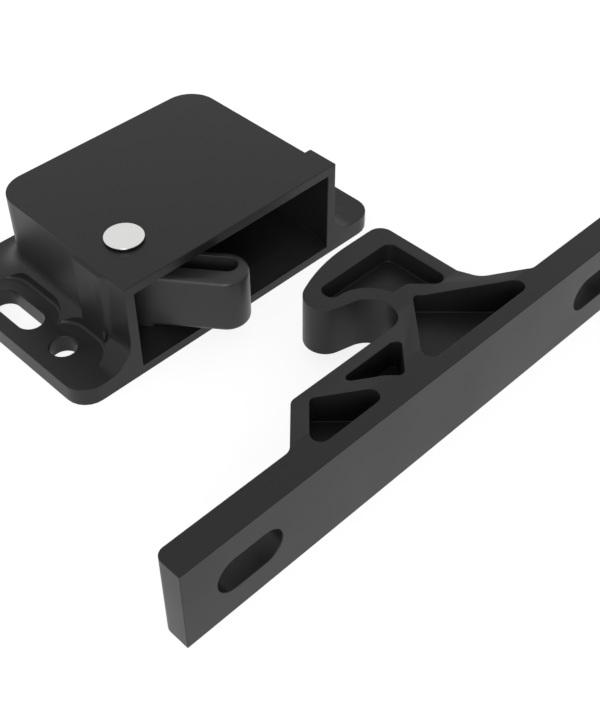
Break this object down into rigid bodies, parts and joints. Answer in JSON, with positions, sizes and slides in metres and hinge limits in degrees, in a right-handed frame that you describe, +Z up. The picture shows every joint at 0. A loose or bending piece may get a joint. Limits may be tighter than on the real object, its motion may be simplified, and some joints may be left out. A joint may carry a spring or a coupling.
{
  "type": "push-to-close latch",
  "caption": "Surface-mounted push-to-close latch: a slotted-ear housing with a spring toggled swinging pawl, and the braced, slotted striker bar whose hook the pawl grips.",
  "frame": {"origin": "midway between the two round screw holes, on the housing's mounting face", "axes": "+X to the right along the housing's width with the mouth facing the viewer, +Y back into the housing, +Z up from the mounting face; the mouth faces -Y and the striker stands before it"},
  "size_m": [0.1016, 0.0842, 0.02],
  "materials": {
    "housing_plastic": "moulded black plastic with a fine matte texture",
    "pawl_plastic": "moulded black plastic, slightly smoother from wear",
    "rivet_metal": "bright domed head",
    "guide_plastic": "moulded dark grey plastic",
    "spring_steel": "drawn spring wire",
    "striker_plastic": "moulded black plastic with a fine matte texture"
  },
  "bodies": {
    "catch": {"housing": "housing_plastic", "pivot_rivet": "rivet_metal", "striker": "striker_plastic"},
    "pawl": {"pawl": "pawl_plastic"},
    "toggle": {"spring_guide": "guide_plastic", "toggle_spring": "spring_steel"}
  },
  "joints": [
    {"name": "pawl_turn", "type": "hinge", "parent": "catch", "child": "pawl", "pos_m": [-0.0151, -0.0016, 0.0095], "axis": [0, 0, 1], "range_deg": [0, 52]},
    {"name": "guide_turn", "type": "hinge", "parent": "pawl", "child": "toggle", "pos_m": [-0.01051, 0.00368, 0.0095], "axis": [0, 0, 1], "range_deg": [-77, 0.5], "deforming": ["toggle_spring"]}
  ],
  "couplings": [
    {"joint": "guide_turn", "follows": "pawl_turn", "ratio": -1.4687}
  ]
}
